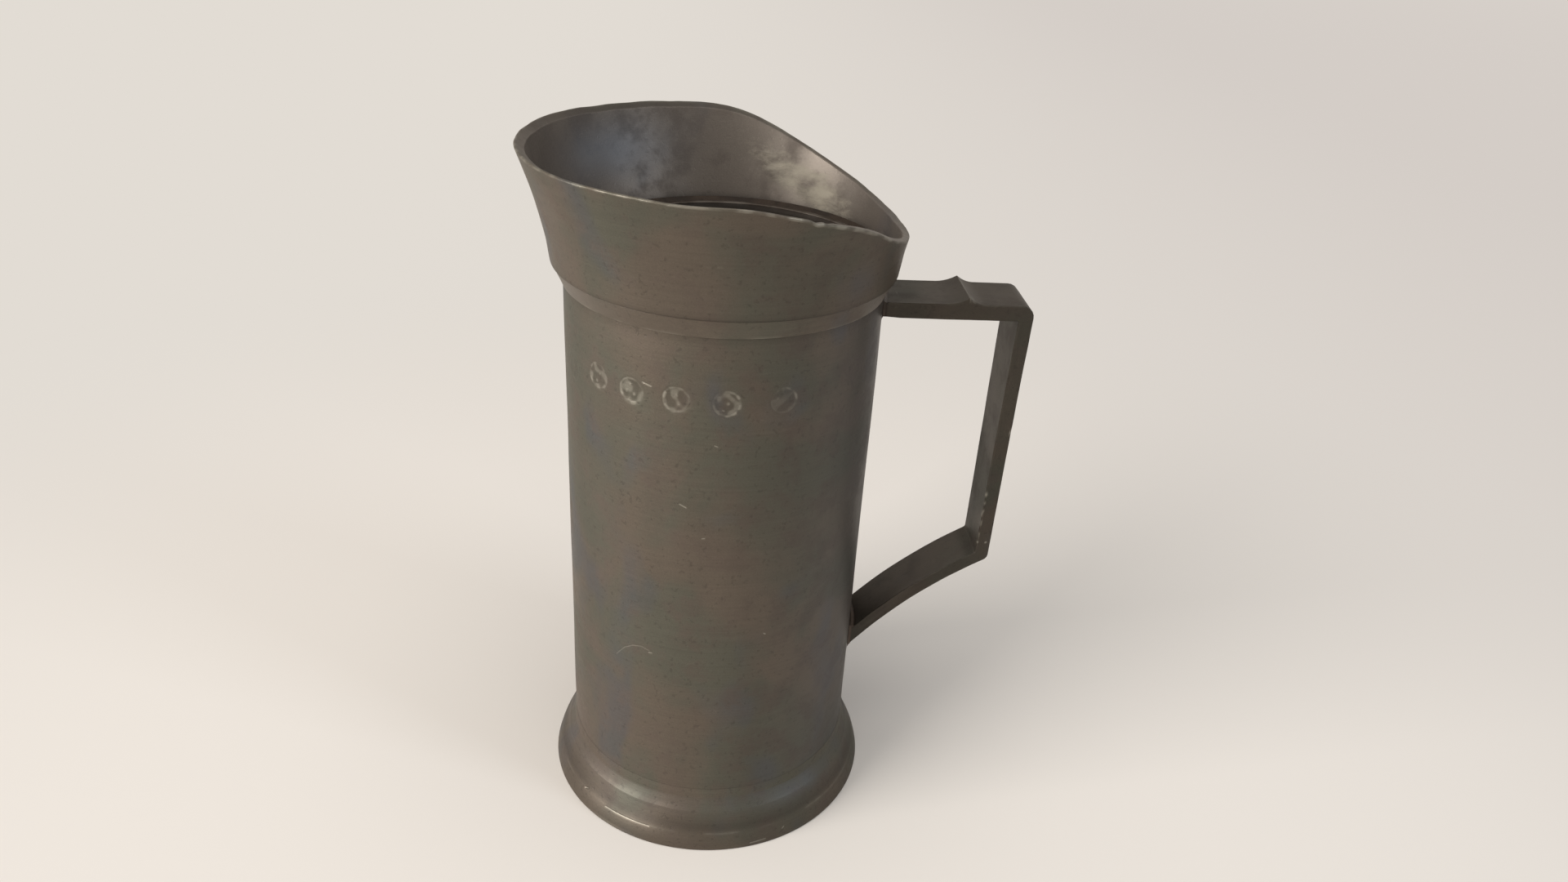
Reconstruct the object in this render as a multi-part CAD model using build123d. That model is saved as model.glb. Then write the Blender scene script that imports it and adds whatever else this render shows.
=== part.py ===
"""Pewter litre measure: a straight drum with a flared pouring collar, a moulded foot and a strap handle.

Millimetres. The origin is on the drum's axis, in the plane that the foot stands on.
+Z is up, +X points to the handle and -X to the spout.
"""
from build123d import *
from math import cos, hypot, radians, sin, sqrt, tan
import os

# Drum: its bore and depth hold one litre, and the depth is twice the bore.
bore_radius = 43.025
inner_depth = 172.1
drum_wall = 2.575

# Coaxial pieces slide together with this gap, and the handle's ends lie off the drum by the film.
fit_gap = 0.05
solder_film = 0.05

# Base plate: it lies on the foot's ledge, inside the drum.
seat_height = 6.2
plate_thickness = 3.0
plate_groove_radius = 24.0
plate_groove_width = 1.0
plate_groove_depth = 0.4
plate_centre_radius = 1.6
plate_centre_depth = 0.7

# Foot ring: a slightly swelling plinth, a small step and a hollow moulding up to the drum.
foot_overhang = 6.9
plinth_height = 5.5
plinth_batter = 1.8
plinth_swell = 0.45
plinth_edge_round = 0.2
cove_step = 0.45
cove_height = 10.8
cove_bow = 0.4
foot_lip = 0.5
foot_ledge_width = 5.6
foot_ledge_thickness = 2.2
foot_tread_width = 5.5
foot_tread_round = 0.4

# Collar band: the hollow moulding under the collar.
band_height = 5.5
band_lip = 0.5
band_overhang = 2.95
band_bow = 0.35

# Collar: it grips the drum's end and flares out, and its rim falls away towards the handle.
collar_grip = 3.0
collar_height = 32.7
collar_overhang = 3.35
lip_overhang = 12.15
lip_thickness = 2.75
flare_bow = 1.0
throat_bow = 0.75
collar_edge_round = 0.7
rim_rise = 1.18
rim_bend_offset = 7.9
rim_bend_radius = 62.0
rim_fall_angle = 25.8
collar_twist = 3.0

# Handle: one strap casting with a thumb ridge, its ends shaped to the drum.
arm_drop = 3.1
finger_gap = 38.85
arm_thickness = 3.95
grip_thickness = 4.35
upper_strap_width = 19.3
lower_strap_width = 16.1
grip_lean_angle = 0.8
elbow_height = 84.4
strut_root_height = 53.6
strut_thickness = 4.07
strut_bow = 1.95
ridge_distance = 23.8
ridge_height = 1.95
ridge_inner_run = 6.4
ridge_outer_run = 4.9
ridge_hollow = 0.45
ridge_round = 0.6
outer_top_round = 3.6
outer_low_round = 3.0
inner_low_round = 1.6
inner_top_round = 0.6

# Solder seams.
base_fillet_size = 1.6
collar_fillet_size = 1.1
foot_feather_height = 3.2
handle_fillet_radius = 1.2

# Struck marks: plain rings with plain pips, in one row, turned from the handle by these degrees.
mark_row_drop = 18.1
mark_angles = (-154.0, -138.4, -123.1, -106.7, -90.0, -70.7)
mark_pips = (0, 2, 3, 0, 1, 2)
mark_radius = 4.0
mark_ring_width = 0.7
mark_depth = 0.25
pip_radius = 0.6
pip_reach = 1.6

# Every cut runs this far past the face that it opens.
overrun = 3.0

drum_radius = bore_radius + drum_wall
socket_radius = drum_radius + fit_gap
foot_radius = drum_radius + foot_overhang
foot_height = plinth_height + cove_height
floor_height = seat_height + plate_thickness
drum_top = floor_height + inner_depth
band_top = drum_top - collar_grip
band_bottom = band_top - band_height
lip_radius = drum_radius + lip_overhang
total_height = band_top + collar_height
arm_top = band_bottom - arm_drop
arm_bottom = arm_top - arm_thickness
grip_reach = drum_radius + finger_gap


def bowed(start, end, bow):
    """Arc from start to end, with its middle the bow's length to the left of the straight line."""
    run = end[0] - start[0]
    rise = end[1] - start[1]
    length = hypot(run, rise)
    middle_x = (start[0] + end[0]) / 2 - bow * rise / length
    middle_z = (start[1] + end[1]) / 2 + bow * run / length
    return ThreePointArc(start, (middle_x, middle_z), end)


def rounded(face, point, radius):
    """The flat face with its corner nearest to the point rounded."""
    corner = min(face.vertices(), key=lambda vertex: hypot(vertex.X - point[0], vertex.Y - point[1]))
    return fillet(corner, radius)


def turned(face):
    """Solid turned about the drum's axis from a flat face of radii and heights."""
    return revolve(Plane.XZ * face, Axis.Z)


def column(radius, bottom, top):
    """Upright cylinder on the drum's axis between two heights."""
    return Pos(0, 0, (bottom + top) / 2) * Cylinder(radius, top - bottom)


def pip_places(count):
    """Centres of a mark's pips: one in the middle, or several evenly round a circle."""
    if count == 1:
        return [(0, 0)]
    turns = [radians(90 + 360 * number / count) for number in range(count)]
    return [(pip_reach * cos(turn), pip_reach * sin(turn)) for turn in turns]


def struck_mark(angle, pips):
    """Metal that one punch drives out of the drum's face: a ring, and the pips inside it."""
    face = Circle(mark_radius) - Circle(mark_radius - mark_ring_width)
    for place in pip_places(pips):
        face += Pos(*place) * Circle(pip_radius)
    height = band_bottom - mark_row_drop
    outward = Vector(cos(radians(angle)), sin(radians(angle)), 0)
    start = outward * (drum_radius - overrun) + Vector(0, 0, height)
    punch = extrude(Plane(origin=start, z_dir=outward) * face, 2 * overrun)
    bottom = height - mark_radius - overrun
    top = height + mark_radius + overrun
    skin = column(drum_radius + 2 * overrun, bottom, top) - column(drum_radius - mark_depth, bottom, top)
    return punch & skin


def make_drum():
    """Open tube that stands on the foot's ledge and carries the row of struck marks."""
    drum = column(drum_radius, seat_height, drum_top)
    drum -= column(bore_radius, seat_height - overrun, drum_top + overrun)
    for angle, pips in zip(mark_angles, mark_pips):
        drum -= struck_mark(angle, pips)
    return drum


def make_base_plate():
    """Bottom disc, with a turned groove and the lathe's centre mark in its underside."""
    plate = column(bore_radius - fit_gap, seat_height, floor_height)
    groove = column(plate_groove_radius, seat_height - overrun, seat_height + plate_groove_depth)
    groove -= column(plate_groove_radius - plate_groove_width, seat_height - overrun, floor_height)
    centre = Pos(0, 0, seat_height + plate_centre_depth / 2) * Cone(plate_centre_radius, 0, plate_centre_depth)
    return plate - groove - centre


def make_foot_ring():
    """Turned ring: plinth and cove outside, and the drum's seat, its ledge and a sloping hollow inside."""
    ledge_radius = drum_radius - foot_ledge_width
    ledge_bottom = seat_height - foot_ledge_thickness
    plinth_foot = (foot_radius, 0)
    plinth_edge = (foot_radius - plinth_batter, plinth_height)
    cove_foot = (foot_radius - plinth_batter - cove_step, plinth_height)
    cove_top = (drum_radius + foot_lip, foot_height)
    outline = Polyline(
        cove_top,
        (socket_radius, foot_height),
        (socket_radius, seat_height),
        (ledge_radius, seat_height),
        (ledge_radius, ledge_bottom),
        (foot_radius - foot_tread_width, 0),
        plinth_foot,
    )
    outline += bowed(plinth_foot, plinth_edge, -plinth_swell) + Line(plinth_edge, cove_foot)
    face = make_face(outline + bowed(cove_foot, cove_top, cove_bow))
    face = rounded(face, plinth_edge, plinth_edge_round)
    return turned(rounded(face, plinth_foot, foot_tread_round))


def make_collar_band():
    """Turned ring with a hollow outer face, between the drum and the collar's lower edge."""
    low = (drum_radius + band_lip, band_bottom)
    high = (drum_radius + band_overhang, band_top)
    outline = Polyline(high, (socket_radius, band_top), (socket_radius, band_bottom), low)
    return turned(make_face(outline + bowed(low, high, band_bow)))


def rim_cutter():
    """Metal above the rim: the rim falls a little from the spout, then steeply past the bend."""
    reach = lip_radius + overrun
    bend = (rim_bend_offset, total_height - rim_rise)
    fall = (reach - rim_bend_offset) * tan(radians(rim_fall_angle))
    slope = rim_rise / (lip_radius + rim_bend_offset)
    outline = Polyline(
        (-reach, total_height + slope * overrun),
        bend,
        (reach, bend[1] - fall),
        (reach, total_height + overrun),
        (-reach, total_height + overrun),
        close=True,
    )
    face = rounded(make_face(outline), bend, rim_bend_radius)
    return extrude(Plane.XZ * face, reach, both=True)


def make_collar():
    """Turned flare with a socket on the drum's end, cut to the sloping rim and turned slightly."""
    low = (drum_radius + collar_overhang, band_top)
    high = (lip_radius, total_height)
    throat = (socket_radius, drum_top)
    lip = (lip_radius - lip_thickness, total_height)
    outline = bowed(low, high, flare_bow) + Line(high, lip) + bowed(throat, lip, throat_bow)
    outline += Polyline(throat, (socket_radius, band_top), low)
    flare = turned(rounded(make_face(outline), low, collar_edge_round))
    return Rot(0, 0, collar_twist) * (flare - rim_cutter())


def strap_profile():
    """Side view of the handle, from inside the drum's wall out to the grip."""
    lean = tan(radians(grip_lean_angle))
    inner_top = (grip_reach, arm_bottom)
    inner_low = (grip_reach - lean * (arm_bottom - elbow_height), elbow_height)
    inner_foot = (grip_reach - lean * arm_bottom, 0)
    outer_top = (grip_reach + grip_thickness + lean * arm_thickness, arm_top)
    outer_foot = (inner_foot[0] + grip_thickness, 0)
    ridge_in = (drum_radius + ridge_distance - ridge_inner_run, arm_top)
    ridge_peak = (drum_radius + ridge_distance, arm_top + ridge_height)
    ridge_out = (drum_radius + ridge_distance + ridge_outer_run, arm_top)

    run = inner_low[0] - drum_radius
    rise = elbow_height - strut_root_height
    chord = hypot(run, rise)
    strut_radius = (chord * chord / 4 + strut_bow * strut_bow) / (2 * strut_bow)
    drop = (strut_radius - strut_bow) / chord
    middle_x = (drum_radius + inner_low[0]) / 2
    middle_z = (strut_root_height + elbow_height) / 2
    strut_centre = (middle_x + drop * rise, middle_z - drop * run)

    outline = Polyline((bore_radius, 0), (bore_radius, arm_top), ridge_in)
    outline += bowed(ridge_in, ridge_peak, -ridge_hollow) + bowed(ridge_peak, ridge_out, -ridge_hollow)
    outline += Polyline(ridge_out, outer_top, outer_foot, (bore_radius, 0))
    opening = Polyline((bore_radius, 0), (bore_radius, arm_bottom), inner_top, inner_foot, close=True)
    under_strut = Pos(*strut_centre) * Circle(strut_radius - strut_thickness)
    over_strut = make_face(opening) - Pos(*strut_centre) * Circle(strut_radius)
    face = make_face(outline) - under_strut - over_strut

    face = rounded(face, ridge_peak, ridge_round)
    face = rounded(face, outer_top, outer_top_round)
    face = rounded(face, inner_top, inner_top_round)
    face = rounded(face, inner_low, inner_low_round)
    return rounded(face, (outer_foot[0], elbow_height), outer_low_round)


def strap_front():
    """Front view of the handle: even at the strut, and widening in a slow curve up the grip."""
    narrow = lower_strap_width / 2
    spread = upper_strap_width / 2 - narrow
    length = arm_top - elbow_height
    side_radius = (length * length / spread + spread) / 2
    end = arm_top + ridge_height + overrun
    half = narrow + side_radius - sqrt(side_radius * side_radius - (end - elbow_height) ** 2)
    outline = Polyline((-narrow, elbow_height), (-narrow, 0), (narrow, 0), (narrow, elbow_height))
    outline += TangentArc((narrow, elbow_height), (half, end), tangent=(0, 1))
    outline += TangentArc((-narrow, elbow_height), (-half, end), tangent=(0, 1))
    return make_face(outline + Line((-half, end), (half, end)))


def strap_casting():
    """The handle before its ends are shaped to the drum."""
    slab = extrude(Plane.XZ * strap_profile(), upper_strap_width, both=True)
    return slab & extrude(Plane.YZ * strap_front(), grip_reach + grip_thickness + overrun)


def make_handle():
    """Strap casting with both ends hollowed to the drum."""
    return strap_casting() - column(drum_radius + solder_film, 0, total_height)


def make_handle_solder(bottom, top):
    """Solder round one end of the handle: the rounding that would blend the strap into the drum."""
    joined = column(drum_radius, bottom, top) + (strap_casting() & column(grip_reach, bottom, top))
    seam = []
    for edge in joined.edges():
        points = [edge @ 0, edge @ 0.5, edge @ 1]
        if all(abs(hypot(point.X, point.Y) - drum_radius) < fit_gap for point in points):
            if all(bottom + fit_gap < point.Z < top - fit_gap for point in points):
                seam.append(edge)
    return fillet(seam, handle_fillet_radius) - joined


def make_foot_seam():
    """Feathered ring of solder on the foot's lip."""
    low = (drum_radius + foot_lip, foot_height)
    high = (socket_radius, foot_height + foot_feather_height)
    return turned(make_face(Polyline(low, high, (socket_radius, foot_height), close=True)))


def make_collar_seam():
    """Ring of solder on the drum's top edge, inside the collar."""
    low = (drum_radius - collar_fillet_size, drum_top)
    high = (drum_radius, drum_top + collar_fillet_size)
    return turned(make_face(Polyline(low, (drum_radius, drum_top), high, close=True)))


def make_base_fillet():
    """Hollow ring of solder between the drum's wall and the base plate."""
    side = bore_radius - solder_film
    low = (side - base_fillet_size, floor_height)
    high = (side, floor_height + base_fillet_size)
    outline = Polyline(low, (side, floor_height), high)
    return turned(make_face(outline + bowed(low, high, -base_fillet_size / 5)))


pieces = {
    "drum": make_drum(),
    "base_plate": make_base_plate(),
    "foot_ring": make_foot_ring(),
    "collar_band": make_collar_band(),
    "collar": make_collar(),
    "handle": make_handle(),
    "foot_seam": make_foot_seam(),
    "collar_seam": make_collar_seam(),
    "base_fillet": make_base_fillet(),
    "upper_handle_solder": make_handle_solder(arm_bottom - overrun, band_bottom),
    "lower_handle_solder": make_handle_solder(foot_height, elbow_height),
}

os.makedirs("parts", exist_ok=True)
for name, piece in pieces.items():
    export_step(piece, "parts/" + name + ".step")
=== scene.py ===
"""Pewter litre measure: the look of its pieces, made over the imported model.

Shapes are worked out in millimetres and turned into metres when their mesh is made.
Angles round the body count from the handle; the camera's side is negative.
"""

from collections import namedtuple
from math import cos, hypot, pi, radians, sin, sqrt, tan

import bmesh
import bpy
import numpy as np
from mathutils import Matrix, Vector


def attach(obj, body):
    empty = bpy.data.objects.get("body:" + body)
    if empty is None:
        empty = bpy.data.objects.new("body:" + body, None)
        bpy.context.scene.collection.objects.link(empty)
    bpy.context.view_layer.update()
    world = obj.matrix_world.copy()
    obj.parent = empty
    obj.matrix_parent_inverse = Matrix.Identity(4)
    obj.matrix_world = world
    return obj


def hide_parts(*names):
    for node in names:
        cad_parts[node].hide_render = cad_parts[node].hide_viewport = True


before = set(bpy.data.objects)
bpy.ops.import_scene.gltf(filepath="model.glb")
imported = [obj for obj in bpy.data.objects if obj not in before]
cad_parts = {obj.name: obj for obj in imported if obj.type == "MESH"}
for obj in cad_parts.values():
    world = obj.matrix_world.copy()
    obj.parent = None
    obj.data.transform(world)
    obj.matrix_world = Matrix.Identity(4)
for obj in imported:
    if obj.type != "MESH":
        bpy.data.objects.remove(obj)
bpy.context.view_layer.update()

METRE = 0.001

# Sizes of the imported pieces.
BORE = 43.025
DRUM = 45.6
SOCKET = 45.65
SEAT = 6.2
DRUM_TOP = 181.3
FOOT_TOP = 16.3
BAND_LOW = 172.8
BAND_TOP = 178.3
LIP = 57.75
TOP = 211.0

# Rows of points: round a corner, and how far a corner's wear reaches along a face.
CORNER_ROWS = 6
WEAR_REACH = 0.9

# A corner of an outline: its place, its round, whether it is a crest (1) or a hollow (-1), and, for the
# edge that starts there, the rows of points along it and how far it bows sideways.
Corner = namedtuple("Corner", "point round crest rows bow", defaults=(0.0, 0.0, 1, 0.0))


# ---------------------------------------------------------------- lines and skins

def smooth(value, low, high):
    """0 below low, 1 above high, and an even ease between."""
    part = np.clip((value - low) / (high - low), 0, 1)
    return part * part * (3 - 2 * part)


def bell(distance, width):
    """1 at no distance and fading to nothing past about twice the width."""
    return np.exp(-(distance / width) ** 2)


def patches(turn, spots):
    """Soft patches round the body, each given as its angle, width and strength."""
    return sum(strength * bell(turn - place, width) for place, width, strength in spots)


def waves(angle, height, seed, longest, count=16):
    """Seeded slow unevenness of about unit size, which closes on itself round the body."""
    draw = np.random.default_rng(seed)
    total = np.zeros(np.broadcast(angle, height).shape)
    for _ in range(count):
        around = draw.integers(1, max(3, int(2 * pi * DRUM / longest)) + 1)
        upward = draw.uniform(-1, 1) * 2 * pi / longest
        total += np.cos(around * angle + upward * height + draw.uniform(0, 2 * pi))
    return total / sqrt(count / 2)


def spaced(start, end, step, close_ups):
    """Places from start up to end, a step apart, and finer within each close-up (from, to, step)."""
    places = [start]
    while places[-1] < end - step / 1000:
        here = places[-1]
        fine = [size for low, high, size in close_ups if low - size / 2 < here < high]
        ahead = [low for low, high, size in close_ups if low > here + size / 2]
        places.append(min([here + min([step, *fine]), end, *ahead]))
    return np.array(places)


def edge_points(start, end, bow, part):
    """Points at some part of the way along an edge that bows sideways."""
    return start + (end - start) * part + 4 * part * (1 - part) * bow


def sideways(start, end, bow):
    """The bow as a vector: to the left of a flat line, or as it is given."""
    if np.ndim(bow) or not bow:
        return bow
    run = end - start
    length = np.linalg.norm(run, axis=-1, keepdims=True)
    return bow * np.stack([-run[:, 1], run[:, 0]], -1) / length


def outline(corners, count, closed=True):
    """Rows of points along a line with rounded corners, one point in a row for each column.

    The second result is how near a row is to a crest, 1, or to a hollow corner, -1.
    """
    points = [np.broadcast_to(np.asarray(c.point, float), (count, np.shape(c.point)[-1])) for c in corners]
    total = len(corners)
    edges = []
    for number, corner in enumerate(corners):
        start, end = points[number], points[(number + 1) % total]
        bow = sideways(start, end, corner.bow)
        edges.append((start, end, bow, np.linalg.norm(end - start, axis=-1, keepdims=True)))
    reaches = []
    for number, corner in enumerate(corners):
        here = points[number]
        back = points[number - 1] - here
        ahead = points[(number + 1) % total] - here
        back = back / np.linalg.norm(back, axis=-1, keepdims=True)
        ahead = ahead / np.linalg.norm(ahead, axis=-1, keepdims=True)
        along = (back * ahead).sum(-1, keepdims=True)
        half = np.sqrt((1 - along) / 2)
        inner = closed or 0 < number < total - 1
        reach = corner.round * np.sqrt((1 + along) / 2) / half if inner else np.zeros_like(half)
        reaches.append((reach, half))
    rows, crests = [], []
    for number, corner in enumerate(corners):
        start, end, bow, length = edges[number]
        reach, weight = reaches[number]
        if corner.round and (closed or 0 < number < total - 1):
            before = edges[number - 1]
            first = edge_points(before[0], before[1], before[2], 1 - reach / before[3])
            last = edge_points(start, end, bow, reach / length)
            for part in np.linspace(0, 1, CORNER_ROWS):
                pulls = ((1 - part) ** 2, 2 * weight * part * (1 - part), part ** 2)
                rows.append((pulls[0] * first + pulls[1] * start + pulls[2] * last) / sum(pulls))
                crests.append(np.full(count, corner.crest))
        else:
            rows.append(start.copy())
            crests.append(np.full(count, corner.crest))
        if not closed and number == total - 1:
            break
        low = reach / length
        high = 1 - reaches[(number + 1) % total][0] / length
        if np.ndim(corner.rows):
            parts = [low * 0 + part for part in corner.rows]
        else:
            steps = (1 - np.cos(pi * np.arange(1, corner.rows) / corner.rows)) / 2
            parts = [low + (high - low) * step for step in steps]
        after = corners[(number + 1) % total].crest
        for part in parts:
            rows.append(edge_points(start, end, bow, part))
            near = np.exp(-np.maximum(part - low, 0) * length / WEAR_REACH)
            far = np.exp(-np.maximum(high - part, 0) * length / WEAR_REACH)
            crests.append((corner.crest * near + after * far)[:, 0])
    return np.array(rows), np.array(crests)


def skin(name, grid, masks, ring=True):
    """Closed mesh over a grid of points, whose rows close on themselves, with its masks and finish."""
    rows, columns = grid.shape[:2]
    number = np.arange(rows * columns).reshape(rows, columns)
    quads = np.stack([number, np.roll(number, -1, 1), np.roll(np.roll(number, -1, 0), -1, 1),
                      np.roll(number, -1, 0)], -1)
    if not ring:
        quads = quads[:, :-1]
    points = grid.reshape(-1, 3)
    faces = quads.reshape(-1, 4).tolist()
    if not ring:
        for column, order in ((0, 1), (columns - 1, -1)):
            loop = number[:, column][::order].tolist()
            faces += [(loop[k], loop[k - 1], len(points)) for k in range(rows)]
            points = np.vstack([points, grid[:, column].mean(0)])
    mesh = bpy.data.meshes.new(name)
    mesh.from_pydata((points * METRE).tolist(), [], faces)
    work = bmesh.new()
    work.from_mesh(mesh)
    bmesh.ops.recalc_face_normals(work, faces=work.faces)
    work.to_mesh(mesh)
    work.free()
    mesh.shade_smooth()
    for mask, values in masks.items():
        layer = mesh.attributes.new(mask, "FLOAT", "POINT")
        full = np.zeros(len(points), np.float32)
        full[:rows * columns] = np.broadcast_to(values, (rows, columns)).ravel()
        layer.data.foreach_set("value", full)
    piece = bpy.data.objects.new(name, mesh)
    bpy.context.scene.collection.objects.link(piece)
    return piece


def turned_grid(radius, height, angles):
    """Points of a turned face from its radii, heights and angles in radians."""
    return np.stack([radius * np.cos(angles), radius * np.sin(angles), height], -1)


def dress(piece, node, finish):
    """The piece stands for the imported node, rides with it and takes the finish."""
    piece.data.materials.append(finish)
    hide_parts(node)
    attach(piece, "root")


# ---------------------------------------------------------------- finishes

def tint(red, green, blue):
    """A colour written as on a colour chart, from 0 to 255, as light."""
    parts = [value / 255 for value in (red, green, blue)]
    return (*[p / 12.92 if p <= 0.04045 else ((p + 0.055) / 1.055) ** 2.4 for p in parts], 1.0)


class Value:
    """A node's output: arithmetic on it adds Math nodes."""

    def __init__(self, finish, socket):
        self.finish = finish
        self.socket = socket

    def math(self, operation, first, second):
        return self.finish.node("ShaderNodeMath", {"operation": operation}, {0: first, 1: second})

    def __add__(self, other):
        return self.math("ADD", self, other)

    def __sub__(self, other):
        return self.math("SUBTRACT", self, other)

    def __rsub__(self, other):
        return self.math("SUBTRACT", other, self)

    def __mul__(self, other):
        return self.math("MULTIPLY", self, other)

    __radd__ = __add__
    __rmul__ = __mul__


class Finish:
    """Node tree of a finish, and the steps that fill it."""

    def __init__(self, name):
        self.material = bpy.data.materials.new(name)
        self.material.use_nodes = True
        self.tree = self.material.node_tree
        self.shader = self.tree.nodes["Principled BSDF"]
        self.place = self.node("ShaderNodeTexCoord", output="Object")

    def node(self, kind, settings=None, sockets=None, output=0):
        made = self.tree.nodes.new(kind)
        for name, value in (settings or {}).items():
            setattr(made, name, value)
        for name, value in (sockets or {}).items():
            self.feed(made.inputs[name], value)
        return Value(self, made.outputs[output])

    def feed(self, socket, value):
        if isinstance(value, Value):
            self.tree.links.new(value.socket, socket)
        else:
            socket.default_value = value

    def set(self, **sockets):
        for name, value in sockets.items():
            self.feed(self.shader.inputs[name.replace("_", " ")], value)

    def mask(self, name):
        return self.node("ShaderNodeAttribute", {"attribute_name": name}, output="Fac")

    def cloud(self, place, scale, detail=3.0, roughness=0.5, distortion=0.0):
        sockets = {"Vector": place, "Scale": scale, "Detail": detail, "Roughness": roughness,
                   "Distortion": distortion}
        return self.node("ShaderNodeTexNoise", {}, sockets)

    def stretched(self, stretch):
        return self.node("ShaderNodeVectorMath", {"operation": "MULTIPLY"}, {0: self.place, 1: stretch})

    def spread(self, value, low, high):
        sockets = {"Value": value, "From Min": low, "From Max": high}
        return self.node("ShaderNodeMapRange", {"interpolation_type": "SMOOTHSTEP"}, sockets)

    def mixed(self, share, first, second):
        return self.node("ShaderNodeMix", {"data_type": "RGBA"}, {0: share, 6: first, 7: second}, 2)

    def scaled(self, colour, size):
        return self.node("ShaderNodeVectorMath", {"operation": "SCALE"}, {0: colour, "Scale": size})

    def bump(self, height, depth):
        """Relief of that many millimetres from a height between 0 and 1."""
        return self.node("ShaderNodeBump", {}, {"Strength": 1.0, "Distance": depth * METRE, "Height": height})


WARM = tint(87, 78, 68)
GREENISH = tint(78, 76, 66)
BLUISH = tint(70, 71, 75)
BROWN = tint(72, 61, 53)
DEEP = tint(40, 35, 31)
BRIGHT = tint(150, 145, 133)
SOOTY = tint(106, 98, 90)
PAINTED_COOL_LIGHT = tint(108, 117, 128)
PALE = tint(116, 108, 100)
LIMED_AND_LIT = tint(164, 155, 138)
SOLDERED = tint(84, 78, 70)
RUSTY = tint(60, 50, 42)
# Reflection at a glancing angle: weaker than on clean metal.
EDGE_SHADE = (0.62, 0.6, 0.57, 1.0)
# How closely fine lines are packed along each axis: turning lines run round, handling marks every way.
TURNING_LINES = (30, 30, 1500)
HANDLING_MARKS = (160, 160, 160)


def worn_pewter(name, stretch=TURNING_LINES, lightness=1.0, indoors=None):
    """Old pewter: brown-grey bloom with cooler clouds, fine marks of use, and bare bright crests, with
    painted shade, painted cool light and painted sheen where its masks say so.

    The stretch gives its fine lines a direction. Indoors is how sooty it is, where no mask says so.
    """
    finish = Finish(name)
    place = finish.place
    clouds = finish.spread(finish.cloud(place, 26, 3, 0.55, 0.5), 0.4, 0.62)
    cool = finish.spread(finish.cloud(finish.stretched((1.0, 1.0, 0.6)), 47, 2, 0.5, 0.3), 0.54, 0.7)
    blots = finish.spread(finish.cloud(place, 105, 4, 0.62), 0.44, 0.68)
    specks = finish.spread(finish.cloud(place, 700, 2, 0.5), 0.6, 0.7)
    grain = finish.cloud(place, 2600, 2, 0.6)
    lines = finish.cloud(finish.stretched(stretch), 1.0, 3, 0.6)
    runs = finish.cloud(finish.stretched((1.0, 1.0, 0.1)), 75, 2)
    wear = finish.mask("wear")
    dirt_and_shade = finish.mask("dirt_and_shade")
    inside = finish.mask("inside") if indoors is None else indoors

    colour = finish.mixed(clouds, WARM, GREENISH)
    colour = finish.mixed(cool * 0.52, colour, BLUISH)
    colour = finish.mixed(blots * 0.6, colour, BROWN)
    colour = finish.mixed(specks * 0.25, colour, DEEP)
    colour = finish.scaled(colour, (0.56 + 0.38 * grain + 0.27 * lines + 0.24 * runs) * lightness)
    sooty = finish.mixed(blots * 0.4, SOOTY, BROWN)
    sooty = finish.scaled(finish.mixed(cool * 0.4, sooty, BLUISH), 0.78 + 0.44 * grain)
    colour = finish.mixed(inside, colour, sooty)
    # The blue mask: painted cool light and painted cool reflections, on the drum's shaded side, in the foot's
    # moulding and inside the collar.
    colour = finish.mixed(finish.mask("blue") * (0.7 + 0.3 * cool), colour, PAINTED_COOL_LIGHT)
    # The pale mask: painted sheen on the band, painted light on the strut, and a paler rim face.
    colour = finish.mixed(finish.mask("pale"), colour, PALE)
    colour = finish.mixed(finish.mask("stain") * (0.6 + 0.6 * blots), colour, RUSTY)
    # Dirt in the struck marks, and painted shade wherever else this mask is set.
    colour = finish.mixed(dirt_and_shade * 0.7, colour, DEEP)
    # Flakes, whose pale colour over the collar's flaky patch is also a painted highlight.
    flakes = finish.cloud(finish.stretched((1.0, 1.0, 2.2)), 300, 5, 0.75, 0.4)
    flaked = finish.spread(flakes * 0.6 + 0.6 * finish.mask("flaking_and_highlight"), 0.36, 0.9)
    colour = finish.mixed(flaked * 0.9, colour, LIMED_AND_LIT)
    rubbed = finish.spread(wear * (0.6 + 0.8 * finish.cloud(place, 420, 3)), 0.12, 0.95)
    colour = finish.mixed(rubbed * 0.6, colour, BRIGHT)

    relief = 0.5 * grain + 0.5 * lines + 0.9 * flaked - 0.5 * specks
    finish.set(
        Specular_Tint=EDGE_SHADE,
        Base_Color=colour,
        Metallic=finish.spread(flaked + 0.4 * blots, 1.3, -0.6) * 0.65,
        Roughness=0.4 + 0.12 * blots + 0.08 * clouds - 0.1 * rubbed + 0.2 * flaked + 0.08 * (grain - 0.5),
        Normal=finish.bump(relief, 0.035),
    )
    return finish.material


def soft_solder(name, body, stain, dullness=0.42):
    """Solder: a body colour with broad stains, and a lumpy skin that is rough by the dullness."""
    finish = Finish(name)
    lumps = finish.cloud(finish.place, 380, 3, 0.6)
    stains = finish.spread(finish.cloud(finish.place, 90, 3), 0.4, 0.66)
    colour = finish.mixed(stains * 0.7, body, stain)
    colour = finish.mixed(finish.spread(lumps, 0.5, 0.75) * 0.5, colour, DEEP)
    finish.set(
        Base_Color=colour,
        Metallic=0.75,
        Roughness=dullness + 0.16 * lumps,
        Normal=finish.bump(lumps, 0.08),
    )
    return finish.material
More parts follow.
